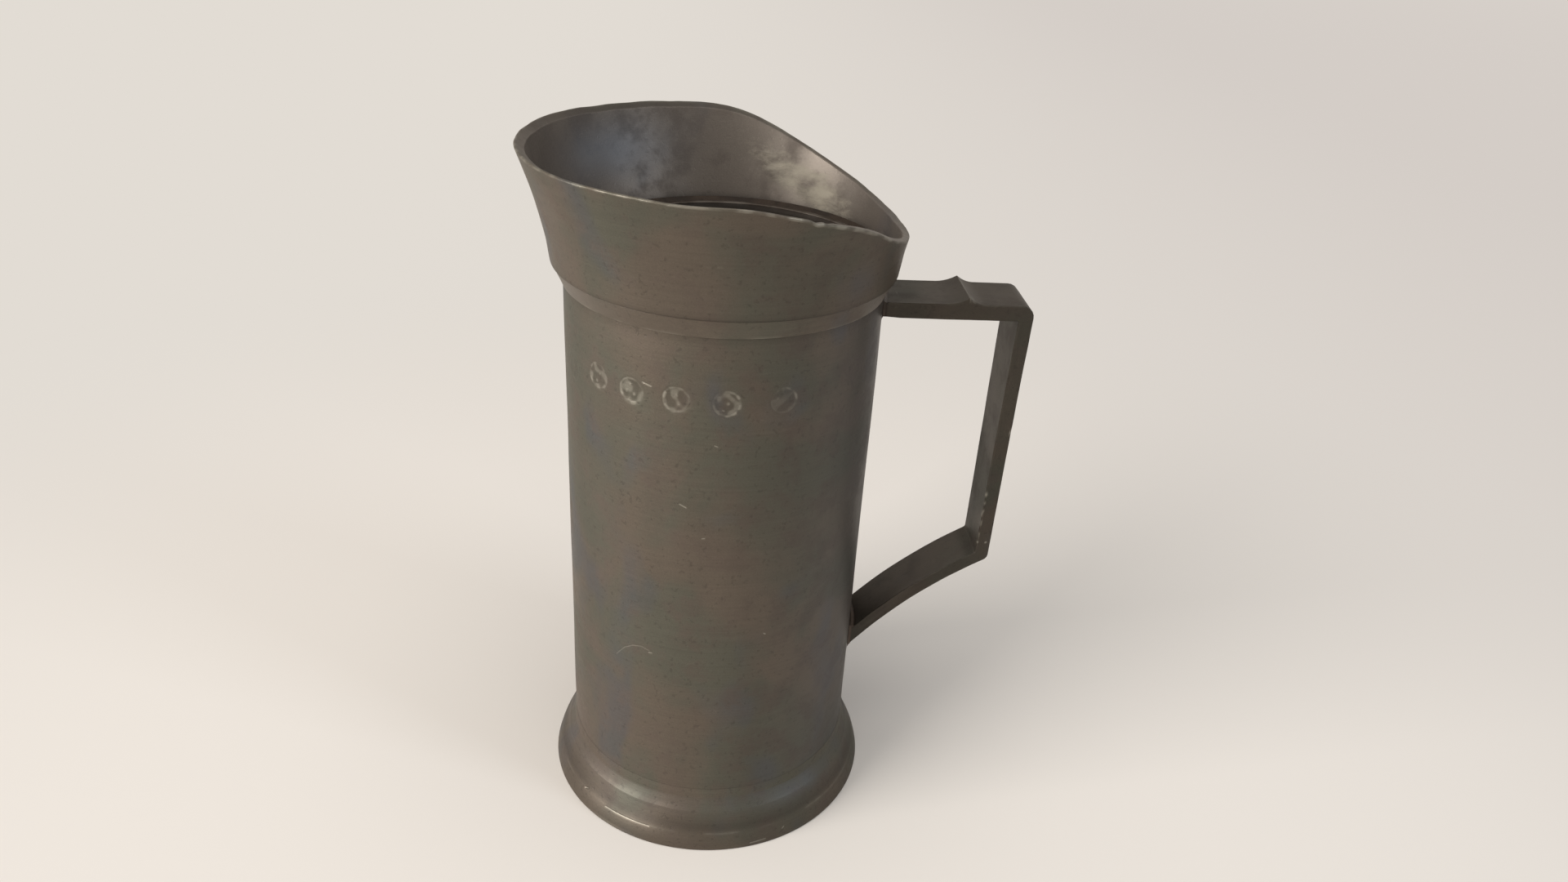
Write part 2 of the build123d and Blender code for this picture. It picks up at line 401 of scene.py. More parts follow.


# ---------------------------------------------------------------- drum

# Struck marks: angle, height, depth, brightness, pips as (across, up, radius), and the side whose ring gets a
# painted highlight.
MARKS = (
    (-155.0, 151.6, 0.06, 0.35, ((0.0, 0.5, 0.7),), 200),
    (-138.4, 154.4, 0.08, 0.78, ((0.9, 1.0, 0.6), (-0.5, -1.5, 0.6)), 260),
    (-123.1, 154.1, 0.12, 0.90, ((-0.4, 1.7, 0.65), (-1.5, -0.4, 0.6), (0.9, -0.9, 0.6)), 250),
    (-106.7, 154.3, 0.12, 0.85, ((0.7, -1.2, 0.5), (0.2, 1.2, 0.45)), 200),
    (-90.0, 154.4, 0.12, 0.80, ((0.4, 0.1, 0.62), (-0.9, -2.2, 0.5)), 345),
    (-70.7, 154.6, 0.09, 0.55, ((-1.9, 0.6, 0.9), (-2.3, -0.9, 0.7)), 20),
)
MARK_RADIUS = 4.0
RING_MIDDLE = 3.45
# How far from its middle a struck mark moves the metal, and the heights and row step of the marks' belt.
MARK_REACH = 5.2
MARK_BELT = (146.8, 159.6, 0.2)

# Nicks and scratches: angle, height, length, slope in degrees and depth.
DRUM_NICKS = (
    (-118.6, 157.5, 0.6, -15, 0.10), (-116.9, 157.2, 2.6, -12, 0.12), (-93.0, 141.8, 1.2, -20, 0.10),
    (-103.8, 122.5, 2.4, -25, 0.06), (-96.4, 112.7, 1.1, 10, 0.09), (-72.5, 78.8, 1.0, -35, 0.09),
    (-115.3, 69.9, 1.4, 5, 0.09), (35.0, 120.0, 2.2, 30, 0.10), (96.0, 61.0, 1.6, -50, 0.10),
    (141.0, 139.0, 1.8, 15, 0.10), (-12.0, 35.0, 1.5, 60, 0.08), (171.0, 88.0, 2.4, -8, 0.10),
)
# A long hairline scratch, as angles and heights along it.
DRUM_SCRATCH = ((-130.7, 64.3), (-126.6, 68.3), (-122.7, 70.4), (-119.0, 71.2), (-115.7, 70.5))
# Soft dents: angle, height, width and depth.
DRUM_DENTS = (
    (-140.0, 96.0, 9.0, 0.16), (-84.0, 46.0, 12.0, 0.14), (62.0, 84.0, 10.0, 0.25), (128.0, 42.0, 8.0, 0.22),
    (-28.0, 150.0, 9.0, 0.15), (165.0, 130.0, 12.0, 0.2),
)
# Painted shade towards the handle's side and at the front, and a painted cool tint of that shade: angle,
# width and strength.
DRUM_SHADE = ((-25.0, 20.0, 0.6), (-80.0, 14.0, 0.12))
DRUM_COOL_SHADE = ((-28.0, 30.0, 0.16),)


def round_the_body(angle, radius):
    """Length along a round face for an angle in degrees, the shorter way round."""
    return np.radians((angle + 180) % 360 - 180) * radius


def struck_relief(angle, height):
    """How far the struck marks move the drum's face, where they are worn bright with a painted highlight on
    one side, and where they hold dirt.
    """
    move, shine, dirt = (np.zeros(angle.shape) for _ in range(3))
    broken = smooth(waves(np.radians(angle), height, 61, 2.6, 40), -1.1, 1.1)
    filled = smooth(waves(np.radians(angle), height, 62, 3.4, 40), -0.9, 1.3)
    for turn, level, depth, bright, pips, glint_side in MARKS:
        across = round_the_body(angle - turn, DRUM)
        up = height - level
        far = np.hypot(across, up)
        field = 1 - smooth(far, MARK_RADIUS - 0.35, MARK_RADIUS + 0.15)
        ring = bell(far - RING_MIDDLE, 0.55)
        raised = ring.copy()
        for x, y, size in pips:
            raised = np.maximum(raised, bell(np.hypot(across - x, up - y), size))
        move += depth * (0.95 * raised * field - field + 0.12 * bell(far - MARK_RADIUS - 0.5, 0.5))
        # A painted highlight: each ring is brighter on one side.
        side = 0.72 + 0.28 * np.cos(np.arctan2(up, across) - radians(glint_side))
        ring = ring * side * (0.45 + 0.55 * broken)
        shine = np.maximum(shine, bright * np.where(far > RING_MIDDLE - 1.1, ring, 0.75 * raised))
        shine = np.maximum(shine, 0.6 * bright * field * filled)
        dirt = np.maximum(dirt, 0.3 * bright * field * (1 - raised) * (1 - filled))
    return move, shine, dirt


def nicked(angle, height, nicks, radius):
    """How far nicks cut into a face, and the bright metal in them."""
    move, shine = np.zeros(angle.shape), np.zeros(angle.shape)
    for turn, level, length, slope, depth in nicks:
        across = round_the_body(angle - turn, radius)
        up = height - level
        lean = radians(slope)
        along = across * cos(lean) + up * sin(lean)
        off = up * cos(lean) - across * sin(lean)
        near = bell(off, 0.22) * (1 - smooth(np.abs(along), length / 2 - 0.25, length / 2 + 0.25))
        move -= depth * near
        shine = np.maximum(shine, near)
    return move, shine


def scratched(angle, height, scratch, radius):
    """How near a face is to a scratch's line: 1 on it."""
    near = np.zeros(angle.shape)
    for (turn, level), (next_turn, next_level) in zip(scratch, scratch[1:]):
        across = round_the_body(angle - turn, radius)
        up = height - level
        run, rise = radians(next_turn - turn) * radius, next_level - level
        part = np.clip((across * run + up * rise) / (run * run + rise * rise), 0, 1)
        near = np.maximum(near, bell(np.hypot(across - part * run, up - part * rise), 0.17))
    return near


def dented(angle, height, dents, radius):
    """How far soft dents press a face in."""
    move = np.zeros(angle.shape)
    for turn, level, width, depth in dents:
        across = round_the_body(angle - turn, radius)
        move -= depth * bell(np.hypot(across, height - level), width)
    return move


def make_drum(finish):
    """Straight tube with its struck marks, on the foot's seat."""
    reach = MARK_REACH / (pi * DRUM / 180)
    columns = [(m[0] - reach, m[0] + reach, 0.24) for m in MARKS]
    columns += [(n[0] - 2.2, n[0] + 2.2, 0.3) for n in DRUM_NICKS]
    columns += [(DRUM_SCRATCH[0][0] - 0.4, DRUM_SCRATCH[-1][0] + 0.4, 0.3)]
    angles = spaced(-180, 180, 1.6, columns)[:-1]
    scratch_levels = [level for _, level in DRUM_SCRATCH]
    belts = [MARK_BELT]
    belts += [(n[1] - 1.4, n[1] + 1.4, 0.24) for n in DRUM_NICKS]
    belts += [(min(scratch_levels) - 0.4, max(scratch_levels) + 0.4, 0.24)]
    levels = spaced(SEAT + 0.4, DRUM_TOP - 0.4, 2.5, belts)
    parts = (levels - SEAT) / (DRUM_TOP - SEAT)
    corners = (
        Corner((DRUM, SEAT), 0.3, 1, parts[1:-1]),
        Corner((DRUM, DRUM_TOP), 0.3, 1, 4),
        Corner((BORE, DRUM_TOP), 0.3, 1, 60),
        Corner((BORE, SEAT), 0.3, 1, 4),
    )
    rows, _ = outline(corners, len(angles))
    radius, height = rows[..., 0], rows[..., 1]
    turn = np.broadcast_to(angles, radius.shape)
    outer = smooth(radius, DRUM - 0.6, DRUM - 0.1)
    held = smooth(height, FOOT_TOP + 4, FOOT_TOP + 16) * (1 - smooth(height, BAND_LOW - 9, BAND_LOW - 2))
    struck, shine, dirt = struck_relief(turn, height)
    cut, fresh = nicked(turn, height, DRUM_NICKS, DRUM)
    scratch = scratched(turn, height, DRUM_SCRATCH, DRUM)
    cut = cut - 0.05 * scratch
    around = np.radians(turn)
    slow = 0.06 * waves(around, height, 11, 60) + 0.02 * waves(around, height, 12, 22)
    radius = radius + held * (slow + dented(turn, height, DRUM_DENTS, DRUM)) + outer * held * (struck + cut)
    # Painted shade on the drum just under the band, and down the bore below its top.
    shade_under_band = 0.25 * outer * bell(height - BAND_LOW + 0.7, 0.9)
    shade_in_bore = 1.2 * bell(height - DRUM_TOP + 3.5, 2.2) * (1 - outer)
    blotchy = smooth(waves(around, height, 13, 12), -1.6, 0.4)
    masks = {
        "wear": outer * np.maximum(shine, np.maximum(0.9 * fresh, 0.6 * scratch)),
        # Dirt in the struck marks, then painted shade; the blue is a painted cool tint on the shaded side.
        "dirt_and_shade": np.maximum(outer * dirt, shade_under_band + shade_in_bore) + outer * patches(turn, DRUM_SHADE),
        "blue": outer * patches(turn, DRUM_COOL_SHADE),
        "inside": 1 - outer,
        "stain": smooth(height, DRUM_TOP - 1.2, DRUM_TOP - 0.3) * blotchy,
    }
    piece = skin("drum_tube", turned_grid(radius, height, around), masks)
    dress(piece, "drum", finish)


# ---------------------------------------------------------------- foot

# Nicks and scratches, as on the drum, at the plinth's middle radius.
FOOT_NICKS = (
    (-122.0, 5.1, 17.0, 1, 0.10), (-73.0, 1.2, 5.5, 2, 0.16), (-142.5, 5.6, 1.6, 20, 0.25),
    (-63.0, 3.0, 1.2, 30, 0.12), (48.0, 5.3, 2.0, 20, 0.2), (150.0, 2.5, 3.0, -20, 0.12),
)
PLINTH_MIDDLE = 51.0
# From the table up the plinth and the hollow moulding to the lip, down the socket, and back under the foot.
FOOT_OUTLINE = (
    Corner((52.5, 0.0), 0.3, 0.8, 26, -0.2),
    Corner((50.75, 5.4), 0.25, 1, 30, 0.12),
    Corner((47.95, 12.1), 5.0, 0, 16, 0.14),
    Corner((46.15, 16.0), 0.6, 0, 3),
    Corner((46.1, FOOT_TOP), 0.05, 0, 2),
    Corner((SOCKET, FOOT_TOP), 0, 0, 6),
    Corner((SOCKET, SEAT), 0, 0, 5),
    Corner((40.0, SEAT), 0.3, 0, 3),
    Corner((40.0, 4.0), 0.3, 0, 8),
    Corner((47.0, 0.0), 0.3, 0, 5),
)
# Painted cool highlight in the hollow moulding, towards the handle: angle, width and strength.
FOOT_COOL_GLINT = ((-57.0, 13.0, 0.3),)


def make_foot(finish):
    """Swelling plinth and soft-shouldered hollow moulding, with the drum's seat inside."""
    columns = [(n[0] - n[2] / 1.6 - 1, n[0] + n[2] / 1.6 + 1, 0.3) for n in FOOT_NICKS]
    angles = spaced(-180, 180, 0.75, columns)[:-1]
    rows, crest = outline(FOOT_OUTLINE, len(angles))
    radius, height = rows[..., 0], rows[..., 1]
    turn = np.broadcast_to(angles, radius.shape)
    outer = smooth(radius, 46.4, 47.6) * smooth(height, 0.15, 1.2)
    hollow = smooth(height, 5.0, 7.0) * smooth(radius, 45.9, 46.1)
    cut, fresh = nicked(turn, height, FOOT_NICKS, PLINTH_MIDDLE)
    around = np.radians(turn)
    slow = 0.04 * waves(around, height * 3, 21, 40) + 0.024 * waves(around, height, 22, 14)
    radius = radius + outer * (slow + cut - 0.05)
    uneven = smooth(waves(around, height, 23, 12), -0.9, 1.2)
    masks = {
        "wear": np.maximum(0.38 * np.maximum(crest, 0) * (0.3 + 0.7 * uneven), 0.75 * fresh * outer),
        # Painted shade: the plinth darker all round and the hollow moulding darkest just above it. The blue
        # is a painted cool highlight high in the moulding.
        "dirt_and_shade": 0.27 * (1 - hollow) + (0.1 + 0.55 * bell(height - 6.6, 3.4)) * hollow,
        "blue": (0.05 + patches(turn, FOOT_COOL_GLINT)) * hollow * bell(height - 13.5, 3.5),
    }
    piece = skin("foot_moulding", turned_grid(radius, height, around), masks)
    dress(piece, "foot_ring", finish)


# ---------------------------------------------------------------- collar and its band

# Up the band's face from its lower lip, and back down beside the drum.
BAND_OUTLINE = (
    Corner((46.1, BAND_LOW), 0.15, 0.9, 22, 0.08),
    Corner((48.55, BAND_TOP), 0, 0, 4),
    Corner((SOCKET, BAND_TOP), 0, 0, 4),
    Corner((SOCKET, BAND_LOW), 0, 0, 2),
)
BAND_COLUMNS = 480
# Painted sheen at the band's ends: angle, width and strength.
BAND_SHEEN = ((-160.0, 24.0, 0.4), (-20.0, 12.0, 0.75))


def make_band(finish):
    """Leaning, slightly hollow band from the drum out to the collar's lower edge."""
    angles = np.linspace(-180, 180, BAND_COLUMNS, endpoint=False)
    rows, crest = outline(BAND_OUTLINE, len(angles))
    radius, height = rows[..., 0], rows[..., 1]
    turn = np.broadcast_to(angles, radius.shape)
    around = np.radians(turn)
    radius = radius + 0.04 * waves(around, height * 2, 31, 30) * smooth(radius, 45.9, 46.6)
    uneven = smooth(waves(around, height, 32, 12), -1.2, 1.0)
    masks = {
        "wear": 0.5 * np.maximum(crest, 0) * (0.4 + 0.6 * uneven),
        # Painted sheen: the band's face a little lighter all round, most at its ends.
        "pale": (0.08 + patches(turn, BAND_SHEEN)) * smooth(radius, 46.0, 46.3),
    }
    piece = skin("collar_moulding", turned_grid(radius, height, around), masks)
    dress(piece, "collar_band", finish)


# The rim, which is turned a little round the axis: it rises towards the spout, bends a little past the axis
# towards the handle, and falls from there at an angle in degrees.
COLLAR_TWIST = 3.0
RIM_RISE = 1.18
RIM_BEND = 7.9
RIM_BEND_RADIUS = 62.0
RIM_FALL = 25.8
# The rim's face falls by this much towards the inside, and less by these: angle, width and amount.
RIM_SLOPE = 2.0
RIM_FLATTER = ((-38.0, 42.0, 2.4), (48.0, 30.0, 1.0))
# How far the worn rim drops: angle, width and depth. The last is a rise.
RIM_DIPS = ((-69.5, 1.6, 0.55), (-66.0, 1.2, 0.3), (-52.0, 15.0, -2.1))

# Each face of the flare: its lower and upper end as (radius, height), and its bow.
OUTER_FACE = ((48.95, BAND_TOP), (LIP, TOP), -1.0)
INNER_FACE = ((SOCKET, DRUM_TOP), (55.0, TOP), 0.75)
FACE_ROWS = 72
# Rows at a face's end that its rounded corner stands for.
CORNER_SHARE = 4
SETTLING_ROUNDS = 30

# Soft dents: angle, height, width and depth.
COLLAR_DENTS = (
    (-150.0, 192.0, 7.0, 0.2), (-100.0, 196.0, 9.0, 0.22), (-58.0, 190.0, 8.0, 0.2),
    (70.0, 193.0, 9.0, 0.25), (150.0, 190.0, 10.0, 0.2), (10.0, 184.0, 6.0, 0.12),
)
COLLAR_MIDDLE = 52.0
# Flaky patch inside, towards the handle, whose pale colour is also a painted highlight of the light falling
# there: angle, height, and how many degrees it leans in a millimetre.
FLAKY_PLACE = (57.0, 189.0, 1.9)
# Patches of the inside, of the rim's face and of the outside: angle, width and strength. The inside's shade
# and cool reflection and the outside's shade are painted.
RIM_WEAR = ((-62.0, 26.0, 0.3),)
RIM_PALE = ((-42.0, 40.0, 0.8),)
INSIDE_BRIGHT = ((66.0, 14.0, 0.5),)
INSIDE_SHADE = ((112.0, 58.0, 0.9),)
INSIDE_COOL_REFLECTION = ((134.0, 20.0, 0.75),)
OUTSIDE_SHADE = ((-80.0, 34.0, 0.2),)


def rim_height(along):
    """Height of the rim at a distance from the axis towards the handle.

    It is nearly level, then bends round and falls.
    """
    level = RIM_RISE / (LIP + RIM_BEND)
    fall = tan(radians(RIM_FALL))
    past = along - RIM_BEND
    spread = RIM_BEND_RADIUS * tan((radians(RIM_FALL) - level) / 2)
    straight = TOP - RIM_RISE - np.where(past < 0, level * past, fall * past)
    blend = np.clip((past + spread) / (2 * spread), 0, 1)
    curve = TOP - RIM_RISE - (-level * spread * (1 - blend) ** 2 + fall * spread * blend ** 2)
    return np.where(np.abs(past) < spread, curve, straight)


def flare(height, low, high, bow):
    """Radius of a flaring face at a height: a straight cone between two (radius, height) points that bows."""
    part = (height - low[1]) / (high[1] - low[1])
    lean = hypot(high[0] - low[0], high[1] - low[1]) / (high[1] - low[1])
    return low[0] + (high[0] - low[0]) * part + 4 * bow * lean * part * (1 - part)


def face_rows(angle, face, drop):
    """Rows up a flaring face from its foot to the rim, which is worn down by the drop."""
    height = np.full(angle.shape, TOP)
    for _ in range(SETTLING_ROUNDS):
        height = rim_height(flare(height, *face) * np.cos(angle - radians(COLLAR_TWIST)))
    low = face[0][1]
    height = low + (height - drop - low) * np.linspace(0, 1, FACE_ROWS)[:, None]
    return np.stack([flare(height, *face), height], -1)


def make_collar(finish):
    """Flared lip with its falling rim: a soft uneven edge, dark inside with painted shade and a painted cool
    reflection, and flaky towards the handle, with a painted highlight on the flakes.
    """
    angles = spaced(-180, 180, 0.6, [(-76, -60, 0.3)])[:-1]
    turn = np.radians(angles)
    drop = 0.12 + 0.09 * waves(turn, 0 * turn, 41, 26) + 0.05 * waves(turn, 0 * turn, 42, 9)
    drop = np.clip(drop, 0, 0.4) + 0.012 * waves(turn, 0 * turn, 47, 3.0, 30) + patches(angles, RIM_DIPS)
    outer = face_rows(turn, OUTER_FACE, drop)
    inner = face_rows(turn, INNER_FACE, drop + RIM_SLOPE - patches(angles, RIM_FLATTER))[::-1]
    lower = (
        Corner((SOCKET, DRUM_TOP), 0, 0, 3),
        Corner((SOCKET, BAND_TOP), 0, 0, 5),
        Corner(OUTER_FACE[0], 0.7, 0.9, 2),
        Corner(outer[CORNER_SHARE - 1], 0, 0, 1),
    )
    upper = (
        Corner(outer[-CORNER_SHARE], 0, 0, 4),
        Corner(outer[-1], 0.42, 1, 7),
        Corner(inner[0], 0.45, 0.6, 4),
        Corner(inner[CORNER_SHARE - 1], 0, 0, 1),
    )
    low_rows, low_crest = outline(lower, len(angles), closed=False)
    top_rows, top_crest = outline(upper, len(angles), closed=False)
    outer, inner = outer[CORNER_SHARE:-CORNER_SHARE], inner[CORNER_SHARE:-1]
    rows = np.concatenate([low_rows, outer, top_rows, inner])
    crest = np.concatenate([low_crest, 0 * outer[..., 0], top_crest, 0 * inner[..., 0]])
    over_rim = np.linspace(-0.6, 1.6, len(top_rows))[:, None] + 0 * top_crest
    inside = np.concatenate([0 * low_crest, 0 * outer[..., 0], over_rim, 1 + 0 * inner[..., 0]])
    inside = np.clip(inside, 0, 1)
    radius, height = rows[..., 0], rows[..., 1]
    turns = np.broadcast_to(angles, radius.shape)
    around = np.radians(turns)
    free = smooth(height, BAND_TOP + 1.5, BAND_TOP + 8)
    slow = 0.07 * waves(around, height, 43, 45) + 0.03 * waves(around, height, 44, 14)
    radius = radius + free * (slow - 0.16 + dented(turns, height, COLLAR_DENTS, COLLAR_MIDDLE))
    flaky_turn, flaky_level, flaky_lean = FLAKY_PLACE
    slant = turns - flaky_turn - flaky_lean * (height - flaky_level)
    streaks = waves(around, 2.6 * height + 0.35 * turns, 45, 9.0, 40)
    # Flaking, painted pale and bright as the highlight where the light falls on the inside.
    flaking_and_highlight = bell(slant, 13.0) * bell(height - flaky_level + 0.5, 8.0) * inside * (0.8 + 0.2 * streaks)
    flaking_and_highlight = np.clip(flaking_and_highlight, 0, 1)
    radius = radius + 0.05 * flaking_and_highlight * streaks
    uneven = smooth(waves(around, height, 46, 4.5, 30), -0.9, 1.0)
    above_seam = smooth(height, BAND_TOP, DRUM_TOP)
    bared = 1 - inside + inside * patches(turns, INSIDE_BRIGHT)
    # Painted shade: in the crease where the inside meets the drum's top, under the rim inside, and on the
    # outside just above the band and at the front.
    shade_in_seam = 0.9 * bell(height - DRUM_TOP, 1.6) * inside
    shade_under_rim = patches(turns, INSIDE_SHADE) * bell(inside - 0.6, 0.4)
    outside = 0.35 * bell(height - BAND_TOP - 0.3, 0.9) + patches(turns, OUTSIDE_SHADE)
    rubbed = (0.48 + patches(turns, RIM_WEAR)) * np.maximum(crest, 0) * (0.5 + 0.5 * uneven)
    masks = {
        "wear": rubbed * above_seam * bared,
        "dirt_and_shade": shade_in_seam + shade_under_rim + (1 - inside) * outside,
        "pale": 4 * inside * (1 - inside) * patches(turns, RIM_PALE),
        "inside": inside * (1 - 0.7 * flaking_and_highlight),
        "flaking_and_highlight": flaking_and_highlight,
        # A painted cool reflection on the inside's far wall.
        "blue": inside * patches(turns, INSIDE_COOL_REFLECTION) * bell(height - 197.5, 8.5),
    }
    piece = skin("collar_flare", turned_grid(radius, height, around), masks)
    dress(piece, "collar", finish)


# ---------------------------------------------------------------- handle

# Heights of the arm's faces, how far its underside swells, the grip's inner face under the arm, its thickness
# and lean, and the heights of the elbow on the inner and outer face.
ARM_TOP = 169.7
ARM_LOW = 165.75
ARM_SWELL = 0.8
GRIP = 84.45
GRIP_THICK = 4.35
LEAN = tan(radians(0.8))
ELBOW = 84.4
OUTER_ELBOW = 82.2
# Along the arm: the end of its root, and the thumb ridge's start, crest and end.
ARM_ROOT = 50.0
RIDGE_START = 63.0
RIDGE_CREST = 69.4
RIDGE_END = 74.3
RIDGE_RISE = 1.95
RIDGE_HOLLOW = -0.45
# The strut's arcs share a centre; one is its upper face and one its lower.
STRUT_CENTRE = (159.97, -47.95)
STRUT_OVER = 152.95
STRUT_UNDER = 148.88
EDGE_ROUND = 0.24
# Half the strap's width, and how much wider it gets on each side up to the arm's top.
NARROW_HALF = 8.05
WIDENING = 1.6
# The strap's ends stay within this half width. The strut's end slopes by this much where it meets the drum.
ROOT_HALF = 9.72
ROOT_SLOPE = 1.127
# Rows along each stretch of the strap, the same on its outer and inner faces.
STRAP_ROWS = (4, 16, 12, 10, 16, 70, 48)
# Nicks on the strap's narrow face: distance from the axis, height and size.
HANDLE_NICKS = (
    (83.9, 106.2, 0.6), (88.0, 128.6, 0.4), (83.6, 88.4, 0.4), (86.3, 88.2, 0.4),
    (83.4, 98.6, 0.45), (83.5, 102.2, 0.5), (83.3, 94.4, 0.4), (83.4, 91.2, 0.35),
)
# The grip's inner edge is gnawed between these heights, with a fade at each.
GNAWED_FROM = (86.0, 92.0)
GNAWED_TO = (105.0, 108.0)


def strap_half_width(height):
    """Half the strap's width: even up to the elbow, then widening in a slow arc."""
    length = ARM_TOP - ELBOW
    arc = (length * length / WIDENING + WIDENING) / 2
    rise = np.maximum(height - ELBOW, 0)
    return NARROW_HALF + arc - np.sqrt(arc * arc - rise * rise)


def arc_bow(start, end, radius):
    """Bow of an arc of that radius between two points, to the left of the way from start to end."""
    chord = hypot(end[0] - start[0], end[1] - start[1])
    return radius - sqrt(radius * radius - chord * chord / 4)


def strap_lines():
    """The strap's outer and inner faces seen from its side, and how near the outer is to a crest."""
    root = GRIP - LEAN * ARM_LOW
    away = STRUT_CENTRE[0] - SOCKET
    under_end = (SOCKET, STRUT_CENTRE[1] + sqrt(STRUT_UNDER ** 2 - away ** 2))
    over_end = (SOCKET, STRUT_CENTRE[1] + sqrt(STRUT_OVER ** 2 - away ** 2))
    low_outer = (root + GRIP_THICK + LEAN * OUTER_ELBOW, OUTER_ELBOW)
    low_inner = (root + LEAN * ELBOW, ELBOW)
    top_outer = (GRIP + GRIP_THICK + LEAN * (ARM_TOP - ARM_LOW), ARM_TOP)
    rows = STRAP_ROWS
    under = ARM_LOW - ARM_SWELL
    outer = (
        Corner((SOCKET, ARM_TOP), 0, 0, rows[0]),
        Corner((ARM_ROOT, ARM_TOP), 1.0, 0, rows[1]),
        Corner((RIDGE_START, ARM_TOP), 1.2, 0, rows[2], RIDGE_HOLLOW),
        Corner((RIDGE_CREST, ARM_TOP + RIDGE_RISE), 0.6, 1, rows[3], RIDGE_HOLLOW),
        Corner((RIDGE_END, ARM_TOP), 1.0, 0, rows[4]),
        Corner(top_outer, 3.6, 0.3, rows[5]),
        Corner(low_outer, 3.0, 0.2, rows[6], -arc_bow(low_outer, under_end, STRUT_UNDER)),
        Corner(under_end),
    )
    inner = (
        Corner((SOCKET, ARM_LOW - 0.6 * ARM_SWELL), 0, 0, rows[0]),
        Corner((ARM_ROOT, under), 1.0, 0, rows[1]),
        Corner((RIDGE_START, under), 1.2, 0, rows[2]),
        Corner((RIDGE_CREST, under), 0.6, 0, rows[3]),
        Corner((RIDGE_END, under), 1.0, 0, rows[4]),
        Corner((GRIP, under), 0.6, -0.3, rows[5]),
        Corner(low_inner, 1.6, -0.3, rows[6], -arc_bow(low_inner, over_end, STRUT_OVER)),
        Corner(over_end),
    )
    outside, ridge = outline(outer, 1, closed=False)
    inside, _ = outline(inner, 1, closed=False)
    return outside[:, 0], inside[:, 0], ridge[:, 0]


def strap_edge(line, side):
    """Points along one edge of the strap: side is 1 or -1, or 0 for its middle."""
    return np.stack([line[:, 0], side * strap_half_width(line[:, 1]), line[:, 1]], -1)


def make_handle(finish):
    """Strap casting: top arm with its thumb ridge, leaning grip and curved lower strut."""
    outside, inside, ridge = strap_lines()
    stations = len(outside)
    ring = (
        Corner(strap_edge(outside, 1), EDGE_ROUND, 1, 16),
        Corner(strap_edge(outside, -1), EDGE_ROUND, 1, 8),
        Corner(strap_edge(inside, -1), EDGE_ROUND, 0.8, 16),
        Corner(strap_edge(inside, 1), EDGE_ROUND, 0.8, 8),
    )
    grid, crest = outline(ring, stations)
    length = np.concatenate([[0], np.cumsum(np.hypot(*np.diff(outside, axis=0).T))])
    along = np.broadcast_to(length, crest.shape)
    cross = np.broadcast_to(np.arange(len(grid))[:, None] * 2 * pi / len(grid), crest.shape)
    middle = (strap_edge(outside, 0) + strap_edge(inside, 0)) / 2
    ends = smooth(along, 0, 6) * smooth(length[-1] - along, 0, 6)
    swell = 0.006 * waves(cross, along, 51, 40) + 0.004 * waves(cross, along, 52, 12)
    grid = middle + (grid - middle) * (1 - 0.008 + swell * ends)[..., None]
    grid[..., 1] = np.where(ends < 1, np.clip(grid[..., 1], -ROOT_HALF, ROOT_HALF), grid[..., 1])
    for column, rise in ((0, 0.0), (stations - 1, ROOT_SLOPE)):
        back = SOCKET - np.sqrt(SOCKET ** 2 - grid[:, column, 1] ** 2)
        grid[:, column, 0] -= back
        grid[:, column, 2] -= rise * back
    uneven = smooth(waves(cross * 0, along, 53, 9), -1.2, 1.0)
    wear = 0.25 * np.maximum(crest, 0) * (0.35 + 0.65 * uneven)
    over = smooth(grid[..., 2], ARM_TOP, ARM_TOP + 1.0) * smooth(grid[..., 0], 69.0, 69.5)
    wear = np.maximum(wear, 0.45 * np.maximum(ridge, 0) * over)
    camera_side = smooth(-grid[..., 1], 7.0, 7.9)
    for place, level, size in HANDLE_NICKS:
        nick = bell(np.hypot(grid[..., 0] - place, grid[..., 2] - level), size) * camera_side
        grid[..., 1] += 0.2 * nick
        wear = np.maximum(wear, 0.9 * nick)
    reach, across, height = grid[..., 0], grid[..., 1], grid[..., 2]
    brink = bell(reach - GRIP - LEAN * (height - ARM_LOW) - 0.25, 0.45)
    gnawed = camera_side * brink * smooth(height, *GNAWED_FROM) * (1 - smooth(height, *GNAWED_TO))
    wear = np.maximum(wear, 0.55 * gnawed * smooth(waves(cross * 0, along, 54, 2.4, 40), -0.3, 0.9))
    flank = bell(reach - RIDGE_CREST - 1.2, 0.9) * smooth(-across, 1.0, 6.5)
    flank = flank * smooth(height, ARM_TOP, ARM_TOP + 0.4)
    strut = (1 - smooth(reach, 79.0, 82.0)) * (1 - smooth(height, ELBOW - 2, ELBOW + 1))
    side_face = bell(np.abs(across) - strap_half_width(height), 0.3)
    masks = {
        "wear": np.maximum(wear, 0.4 * flank),
        # Painted light on the strut's upper and lower faces, and painted shade on the strap's side faces.
        "pale": 0.2 * strut * (1 - side_face),
        "dirt_and_shade": (0.22 + 0.18 * strut) * side_face,
    }
    piece = skin("handle_strap", grid, masks, ring=False)
    dress(piece, "handle", finish)


# ---------------------------------------------------------------- table, light and camera

PALE_TABLE = tint(237, 230, 221)
PALE_WALL = tint(226, 220, 212)
DIM_WALL = tint(212, 205, 199)
FAR_WALL = tint(219, 213, 206)
PALE_SKY = tint(241, 240, 241)
# The table in metres: how wide it is, and how little it lies below the foot.
TABLE_SIZE = 30.0
TABLE_LEVEL = -0.00006
# Metres from the measure over which the table's own tone gives way to the wall's, and that to the far wall's.
WALL_FADE = (0.16, 0.5)
FAR_FADE = (1.5, 7.0)
